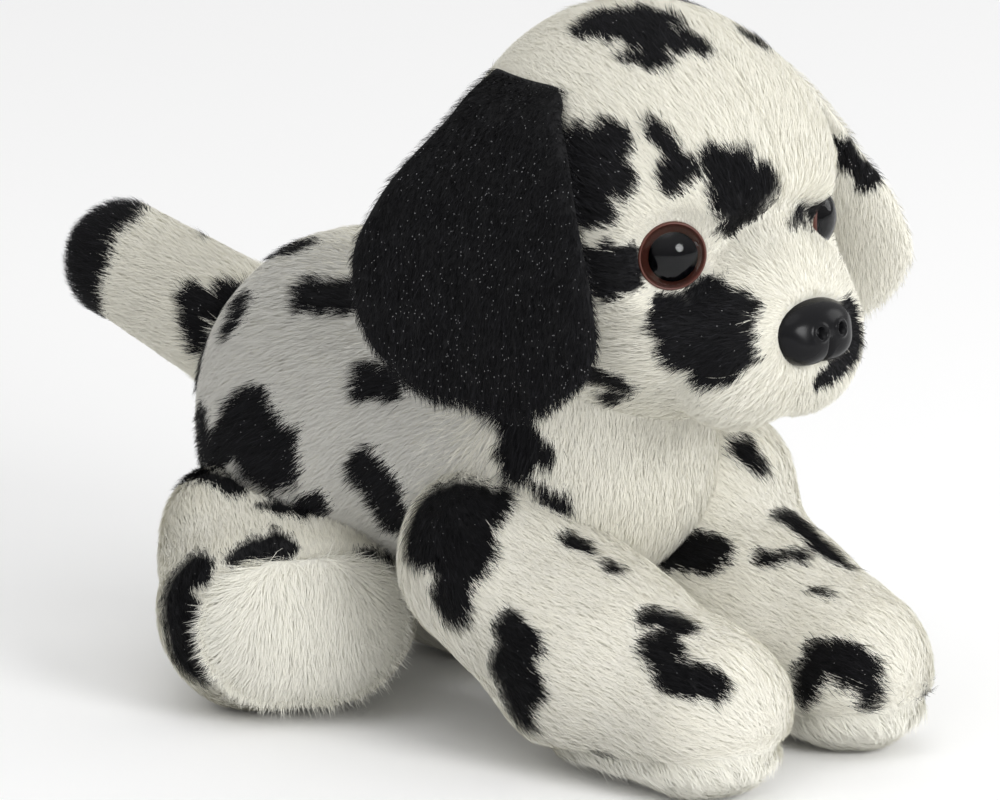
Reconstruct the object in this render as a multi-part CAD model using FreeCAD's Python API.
"""Soft toy dog, lying with its front legs stretched forward and its head up.

The dog faces -Y and +Z is up. The origin is on the ground, under the middle of the whole toy.
Each fur panel is one closed shell as thick as the cloth and its laid-down pile together.
"""
import FreeCAD, Part
import math
import os

os.makedirs("parts", exist_ok=True)

# The shape is described from a point under the chest, then moved so that the origin is right.
GROUND_Z = 1.5        # the paws are pressed flat at this height

# Cloth and gaps
PILE = 6.0
FILL_GAP = 0.2
MOVING_GAP = 0.4
HARD_GAP = 0.1        # cloth and filling round the eyes and the nose
SHAFT_GAP = 0.05      # washer on its shank
LAYER_GAP = 0.05      # between the two layers of an ear

# Head, built round the skull ball
SKULL = (0, -41, 144)
SKULL_RADIUS = 49.0
CHEEKS = (0, -58, 122)
CHEEKS_RADII = (42, 34, 30)
MUZZLE = (0, -80, 114.5)
MUZZLE_RADII = (29, 20, 24.5)
NECK = (0, -34, 128)
NECK_RADIUS = 44.0
CHIN_TOP = 104.0
CHIN_BACK = -52.0
HEAD_BACK_SEAM = -22.0

# Eyes: clear dome, coloured ring, black back with a shank, and a lock washer
EYE = (28, -73.5, 138.5)
EYE_TURN = 35.0
EYE_RADIUS = 8.2
DOME_HEIGHT = 4.8
IRIS_THICKNESS = 1.2
PUPIL_RADIUS = 5.5
BACK_THICKNESS = 1.2
SHANK_RADIUS = 2.0
SHANK_LENGTH = 12.0
WASHER_RADIUS = 7.0
WASHER_THICKNESS = 1.4
WASHER_SETBACK = 1.0

# Nose
NOSE = (0, -96.5, 118)
NOSE_RADII = (12.6, 7, 8)
NOSTRIL_RADIUS = 1.7
NOSTRIL_SPACING = 9.0
NOSTRIL_REACH = 3.2
NOSTRIL_DROP = 1.0
NOSE_SHANK_RADIUS = 2.5
NOSE_SHANK_BACK = -74.0
NOSE_WASHER_Y = -81.0

# Ears, as levels from the top seam down: height, then front, middle and rear as (out, along)
EAR_HALF_THICKNESS = 3.0
EAR_LEVELS = [
    (175, (41.4, -47), (41.9, -33), (36.4, -18)),
    (168, (46, -55), (47, -33), (43, -9)),
    (152, (54, -64), (55, -33), (57, 0)),
    (135, (59, -73.5), (60, -36), (64, 3)),
    (120, (60, -77), (62, -38), (65, 1)),
    (110, (60, -71), (62, -38), (64, -4)),
    (103, (60, -58), (61.5, -38), (63, -15)),
    (101, (60, -51), (61, -38), (62, -24)),
]

# Torso
CHEST = (0, -15, 74)
CHEST_RADIUS = 38.0
LOIN = (0, 57.5, 72)
LOIN_RADIUS = 41.0
RUMP = (0, 59, 67)
RUMP_RADII = (43, 38, 51)
BELLY_TOP = 48.0

# Front legs: shoulder, elbow and paw, joined by round runs
SHOULDER = (30, -15, 50)
ELBOW = (30, -49, 31)
PAW = (30, -86, 22.5)
SHOULDER_RADIUS = 25.0
PAW_RADIUS = 22.0
FRONT_ROOT_X = 20.0
FRONT_ROOT_REACH = 56.0
FRONT_SOLE_HEIGHT = 10.0
FRONT_SOLE_TILT = 6.0
FRONT_SOLE_BACK = ELBOW[1] + 8
FRONT_LIFT, FRONT_DROP = 20.0, 35.0

# Hind legs: a round thigh and a broad foot turned outward
HIP = (28, 64, 34)
THIGH_RADIUS = 30.0
FOOT = (38.5, 49, 28)
FOOT_RADIUS = 27.5
FOOT_HALF_SPREAD = 6.5
FOOT_TURN = 36.0
HIND_ROOT_X = 22.0
HIND_SOLE_DEPTH = 18.0
HIND_LIFT, HIND_DROP = 15.0, 25.0

# Tail
TAIL_ROOT = (0, 103, 86.5)
TAIL_TIP = (0, 142.5, 97)
TAIL_ROOT_RADIUS = 16.5
TAIL_TIP_RADIUS = 15.0

MIDDLE_Y = (PAW[1] - PAW_RADIUS + TAIL_TIP[1] + TAIL_TIP_RADIUS) / 2
FAR = 300.0           # beyond every edge of the toy
SIDES = {"left": 1, "right": -1}


def vec(point):
    return FreeCAD.Vector(*point)


def ball(centre, radius):
    return Part.makeSphere(radius, vec(centre))


def ellipsoid(centre, radii):
    stretch = FreeCAD.Matrix()
    stretch.scale(*radii)
    solid = Part.makeSphere(1.0).transformGeometry(stretch)
    solid.translate(vec(centre))
    return solid


def tapered_run(start, start_radius, end, end_radius):
    """Two balls and the cone that touches both, as one solid of revolution."""
    axis = vec(end) - vec(start)
    length = axis.Length
    lean = math.asin((start_radius - end_radius) / length)

    def on_ball(along, radius, angle):
        return FreeCAD.Vector(radius * math.cos(angle), 0, along + radius * math.sin(angle))

    quarter = math.pi / 2
    first = Part.Arc(on_ball(0, start_radius, -quarter), on_ball(0, start_radius, (lean - quarter) / 2),
                     on_ball(0, start_radius, lean)).toShape()
    side = Part.makeLine(on_ball(0, start_radius, lean), on_ball(length, end_radius, lean))
    last = Part.Arc(on_ball(length, end_radius, lean), on_ball(length, end_radius, (lean + quarter) / 2),
                    on_ball(length, end_radius, quarter)).toShape()
    back = Part.makeLine(FreeCAD.Vector(0, 0, length + end_radius), FreeCAD.Vector(0, 0, -start_radius))
    profile = Part.Face(Part.Wire([first, side, last, back]))
    solid = profile.revolve(vec((0, 0, 0)), vec((0, 0, 1)), 360)
    solid.Placement = FreeCAD.Placement(vec(start), FreeCAD.Rotation(vec((0, 0, 1)), axis))
    return solid


def box(x_range, y_range, z_range):
    corner = FreeCAD.Vector(x_range[0], y_range[0], z_range[0])
    return Part.makeBox(x_range[1] - x_range[0], y_range[1] - y_range[0], z_range[1] - z_range[0], corner)


def cross_cylinder(y, z, radius, x_from, x_to):
    """Cylinder along X."""
    return Part.makeCylinder(radius, x_to - x_from, FreeCAD.Vector(x_from, y, z), vec((1, 0, 0)))


def shrunk(radii, amount):
    return tuple(radius - amount for radius in radii)


def on_side(point, side):
    return (side * point[0], point[1], point[2])


def outward(side, x_from):
    """The X range from a distance off the middle plane outward, on one side."""
    return (x_from, FAR) if side > 0 else (-FAR, -x_from)


def joined(solids):
    return solids[0].multiFuse(solids[1:]).removeSplitter()


# ---- whole outlines, grown or shrunk by an amount ------------------------------------------

def head_form(inset):
    return joined([ball(SKULL, SKULL_RADIUS - inset),
                   ellipsoid(CHEEKS, shrunk(CHEEKS_RADII, inset)),
                   ellipsoid(MUZZLE, shrunk(MUZZLE_RADII, inset)),
                   ball(NECK, NECK_RADIUS - inset)])


def torso_form(inset):
    return joined([tapered_run(CHEST, CHEST_RADIUS - inset, LOIN, LOIN_RADIUS - inset),
                   ellipsoid(RUMP, shrunk(RUMP_RADII, inset))])


def front_leg_form(side, inset):
    """A whole front leg, before its root is cut to sit against the torso."""
    shoulder, elbow, paw = (on_side(point, side) for point in (SHOULDER, ELBOW, PAW))
    return joined([tapered_run(shoulder, SHOULDER_RADIUS - inset, elbow, SHOULDER_RADIUS - inset),
                   tapered_run(elbow, SHOULDER_RADIUS - inset, paw, PAW_RADIUS - inset)])


def hind_leg_form(side, inset):
    """A round thigh and a foot that is wider than it is high."""
    turn = math.radians(FOOT_TURN)
    spread = (FOOT_HALF_SPREAD * math.cos(turn), FOOT_HALF_SPREAD * math.sin(turn))
    inner, outer = ((FOOT[0] + way * spread[0], FOOT[1] + way * spread[1], FOOT[2]) for way in (-1, 1))
    radius = FOOT_RADIUS - inset
    return joined([ball(on_side(HIP, side), THIGH_RADIUS - inset),
                   tapered_run(on_side(inner, side), radius, on_side(outer, side), radius)])


def tail_form(inset):
    return tapered_run(TAIL_ROOT, TAIL_ROOT_RADIUS - inset, TAIL_TIP, TAIL_TIP_RADIUS - inset)


# ---- room that the torso leaves for what moves against it ----------------------------------

def swung(point, pivot, degrees):
    """Where a leg point comes to, in side view, when the leg turns about its pivot."""
    angle = math.radians(degrees)
    along, up = point[1] - pivot[1], point[2] - pivot[2]
    return (pivot[1] + along * math.cos(angle) - up * math.sin(angle),
            pivot[2] + along * math.sin(angle) + up * math.cos(angle))


def front_leg_room(side):
    """Room for a front leg over its whole swing: a round seat and a fan in front of it."""
    radius = SHOULDER_RADIUS + MOVING_GAP
    x_from = FRONT_ROOT_X - MOVING_GAP / 2
    seat = cross_cylinder(SHOULDER[1], SHOULDER[2], radius, *outward(side, x_from))
    corners = []
    for target, swing, edge in ((PAW, -FRONT_LIFT, 1), (ELBOW, FRONT_DROP, -1)):
        y, z = swung(target, SHOULDER, swing)
        angle = math.atan2(z - SHOULDER[2], y - SHOULDER[1])
        run = (math.cos(angle), math.sin(angle))
        start_y = SHOULDER[1] + edge * radius * run[1]
        start_z = SHOULDER[2] - edge * radius * run[0]
        pair = [(start_y, start_z), (start_y + FAR * run[0], start_z + FAR * run[1])]
        corners += pair if edge > 0 else pair[::-1]
    points = [FreeCAD.Vector(side * x_from, y, z) for y, z in corners]
    fan = Part.Face(Part.makePolygon(points + points[:1])).extrude(FreeCAD.Vector(side * FAR, 0, 0))
    return [seat, fan]


def hind_leg_room(side):
    """Room for a hind leg: the thigh's own round seat and the foot at four swings."""
    span = outward(side, HIND_ROOT_X - MOVING_GAP / 2)
    room = [cross_cylinder(HIP[1], HIP[2], THIGH_RADIUS + MOVING_GAP, *span)]
    steps = 3
    for step in range(steps + 1):
        swing = -HIND_LIFT + (HIND_LIFT + HIND_DROP) * step / steps
        y, z = swung(FOOT, HIP, swing)
        room.append(cross_cylinder(y, z, FOOT_RADIUS + FOOT_HALF_SPREAD / 2 + MOVING_GAP, *span))
    return room


def torso_room():
    room = [ball(NECK, NECK_RADIUS + MOVING_GAP), ball(TAIL_ROOT, TAIL_ROOT_RADIUS + MOVING_GAP)]
    for side in SIDES.values():
        room += front_leg_room(side) + hind_leg_room(side)
    return room


# ---- pieces --------------------------------------------------------------------------------

def torso_pieces():
    room = torso_room()
    shell = torso_form(0).cut(torso_form(PILE)).cut(room)
    belly = box((-FAR, FAR), (-FAR, FAR), (-FAR, BELLY_TOP))
    upper = shell.cut(belly)
    return {"back_panel_left": upper.common(box((0, FAR), (-FAR, FAR), (-FAR, FAR))),
            "back_panel_right": upper.common(box((-FAR, 0), (-FAR, FAR), (-FAR, FAR))),
            "belly_panel": shell.common(belly),
            "torso_stuffing": torso_form(PILE + FILL_GAP).cut(room)}


def eye_pieces(side):
    """One eye, built looking along -Y at the origin, then turned outward and moved into place."""
    forward = vec((0, -1, 0))
    back = vec((0, 1, 0))

    def disc(radius, start, length):
        return Part.makeCylinder(radius, length, vec((0, start, 0)), back)

    sphere_radius = (EYE_RADIUS ** 2 + DOME_HEIGHT ** 2) / (2 * DOME_HEIGHT)
    dome = ball((0, sphere_radius - DOME_HEIGHT, 0), sphere_radius)
    dome = dome.common(Part.makeCylinder(FAR, FAR, vec((0, 0, 0)), forward))
    ring = disc(EYE_RADIUS, 0, IRIS_THICKNESS).cut(disc(PUPIL_RADIUS, 0, IRIS_THICKNESS))
    plate_end = IRIS_THICKNESS + BACK_THICKNESS
    eye_back = joined([disc(PUPIL_RADIUS, 0, IRIS_THICKNESS),
                       disc(EYE_RADIUS, IRIS_THICKNESS, BACK_THICKNESS),
                       disc(SHANK_RADIUS, plate_end, SHANK_LENGTH)])
    washer_start = plate_end + WASHER_SETBACK
    washer = disc(WASHER_RADIUS, washer_start, WASHER_THICKNESS)
    washer = washer.cut(disc(SHANK_RADIUS + SHAFT_GAP, washer_start, WASHER_THICKNESS))
    socket = Part.makeCylinder(EYE_RADIUS + HARD_GAP, FAR, vec((0, plate_end + HARD_GAP, 0)), forward)
    washer_room = WASHER_SETBACK + WASHER_THICKNESS + HARD_GAP
    room_behind = joined([disc(WASHER_RADIUS + HARD_GAP, plate_end, washer_room),
                          disc(SHANK_RADIUS + HARD_GAP, plate_end, SHANK_LENGTH + HARD_GAP)])
    pieces = {"eye_dome": dome, "iris_ring": ring, "eye_back": eye_back, "eye_washer": washer,
              "socket": socket, "room_behind": room_behind}
    outward_turn = FreeCAD.Rotation(vec((0, 0, 1)), side * EYE_TURN)
    placement = FreeCAD.Placement(vec(on_side(EYE, side)), outward_turn)
    for piece in pieces.values():
        piece.Placement = placement.multiply(piece.Placement)
    return pieces


def nose_pieces():
    back = vec((0, 1, 0))
    nose = joined([ellipsoid(NOSE, NOSE_RADII),
                   Part.makeCylinder(NOSE_SHANK_RADIUS, NOSE_SHANK_BACK - NOSE[1], vec(NOSE), back)])
    for side in SIDES.values():
        nostril_at = vec((side * NOSTRIL_SPACING / 2, NOSE[1] - NOSE_RADII[1] - NOSTRIL_DROP,
                          NOSE[2] - NOSTRIL_DROP))
        nose = nose.cut(Part.makeCylinder(NOSTRIL_RADIUS, NOSTRIL_REACH, nostril_at, back))
    washer_at = vec((0, NOSE_WASHER_Y, NOSE[2]))
    washer = Part.makeCylinder(WASHER_RADIUS, WASHER_THICKNESS, washer_at, back)
    washer = washer.cut(Part.makeCylinder(NOSE_SHANK_RADIUS + SHAFT_GAP, WASHER_THICKNESS, washer_at, back))
    shank_room = NOSE_SHANK_BACK + HARD_GAP - NOSE[1]
    room = joined([ellipsoid(NOSE, shrunk(NOSE_RADII, -HARD_GAP)),
                   Part.makeCylinder(NOSE_SHANK_RADIUS + HARD_GAP, shank_room, vec(NOSE), back),
                   Part.makeCylinder(WASHER_RADIUS + HARD_GAP, WASHER_THICKNESS + 2 * HARD_GAP,
                                     washer_at - vec((0, HARD_GAP, 0)), back)])
    return {"nose_button": nose, "nose_washer": washer, "room": room}


def head_pieces():
    eyes = {name: eye_pieces(side) for name, side in SIDES.items()}
    nose = nose_pieces()
    sockets = [nose.pop("room")]
    behind = []
    for eye in eyes.values():
        sockets.append(eye.pop("socket"))
        behind.append(eye.pop("room_behind"))
    shell = head_form(0).cut(head_form(PILE)).cut(sockets + behind)
    stuffing = head_form(PILE + FILL_GAP).cut(sockets + behind)
    chin = box((-FAR, FAR), (-FAR, CHIN_BACK), (-FAR, CHIN_TOP))
    back = box((-FAR, FAR), (HEAD_BACK_SEAM, FAR), (-FAR, FAR))
    sides = shell.cut([chin, back])
    pieces = {"head_side_left": sides.common(box((0, FAR), (-FAR, FAR), (-FAR, FAR))),
              "head_side_right": sides.common(box((-FAR, 0), (-FAR, FAR), (-FAR, FAR))),
              "head_back_panel": shell.common(back),
              "chin_panel": shell.common(chin),
              "head_stuffing": stuffing}
    pieces.update(nose)
    for name, eye in eyes.items():
        pieces.update({f"{part}_{name}": shape for part, shape in eye.items()})
    return pieces


def ear_wire(side, level, inner, outer):
    """Outline of one ear layer at one height, between two distances from its middle surface."""
    height, front, middle, rear = level

    def edge_points(offset):
        return [FreeCAD.Vector(side * (out + offset), along, height) for out, along in (front, middle, rear)]

    inside, outside = edge_points(inner), edge_points(outer)
    curves = []
    for points in (outside, inside[::-1]):
        curve = Part.BSplineCurve()
        curve.interpolate(points)
        curves.append(curve.toShape())
    rear_end = Part.makeLine(outside[-1], inside[-1])
    front_end = Part.makeLine(inside[0], outside[0])
    return Part.Wire([curves[0], rear_end, curves[1], front_end])


def ear_pieces(side):
    """The fur layer outside and the lining toward the head, sewn face to face."""
    layers = {"ear_outer": (0, EAR_HALF_THICKNESS), "ear_lining": (-EAR_HALF_THICKNESS, -LAYER_GAP)}
    return {name: Part.makeLoft([ear_wire(side, level, *span) for level in EAR_LEVELS], True)
            for name, span in layers.items()}


def ground():
    return box((-FAR, FAR), (-FAR, FAR), (-FAR, GROUND_Z))


def front_leg_pieces(side):
    """Fur tube, sole and stuffing, cut flat where the leg meets the torso."""
    span = outward(-side, -FRONT_ROOT_X - MOVING_GAP / 2)
    root = cross_cylinder(SHOULDER[1], SHOULDER[2], FRONT_ROOT_REACH, *span)
    shell = front_leg_form(side, 0).cut(front_leg_form(side, PILE)).cut([root, ground()])
    below = box((-FAR, FAR), (-FAR, FAR), (-FAR, FRONT_SOLE_HEIGHT))
    below.rotate(FreeCAD.Vector(0, ELBOW[1], FRONT_SOLE_HEIGHT), vec((1, 0, 0)), -FRONT_SOLE_TILT)
    below = below.common(box((-FAR, FAR), (-FAR, FRONT_SOLE_BACK), (-FAR, FAR)))
    return {"front_leg_skin": shell.cut(below),
            "front_sole": shell.common(below),
            "front_leg_stuffing": front_leg_form(side, PILE + FILL_GAP).cut(root)}


def hind_leg_pieces(side):
    """Fur tube, oval sole on the end of the foot, and stuffing."""
    root = box(outward(-side, -HIND_ROOT_X - MOVING_GAP / 2), (-FAR, FAR), (-FAR, FAR))
    shell = hind_leg_form(side, 0).cut(hind_leg_form(side, PILE)).cut([root, ground()])
    beyond = box((-FAR, FAR), (-FAR, -HIND_SOLE_DEPTH), (-FAR, FAR))
    beyond.rotate(vec((0, 0, 0)), vec((0, 0, 1)), side * FOOT_TURN)
    beyond.translate(vec(on_side(FOOT, side)))
    return {"hind_leg_skin": shell.cut(beyond),
            "hind_sole": shell.common(beyond),
            "hind_leg_stuffing": hind_leg_form(side, PILE + FILL_GAP).cut(root)}


def tail_pieces():
    return {"tail_skin": tail_form(0).cut(tail_form(PILE)),
            "tail_stuffing": tail_form(PILE + FILL_GAP)}


def all_pieces():
    pieces = {}
    pieces.update(torso_pieces())
    pieces.update(head_pieces())
    pieces.update(tail_pieces())
    for name, side in SIDES.items():
        for make in (ear_pieces, front_leg_pieces, hind_leg_pieces):
            pieces.update({f"{part}_{name}": shape for part, shape in make(side).items()})
    return pieces


if __name__ == "__main__":
    for node, shape in all_pieces().items():
        shape.translate(FreeCAD.Vector(0, -MIDDLE_Y, -GROUND_Z))
        if not shape.isValid() or not shape.Solids:
            raise ValueError(f"{node} is not a valid solid")
        solids = shape.Solids[0] if len(shape.Solids) == 1 else Part.makeCompound(shape.Solids)
        solids.exportStep(f"parts/{node}.step")
        print(f"{node:26s} solids {len(shape.Solids)}  volume {shape.Volume / 1000:8.2f} cm3")
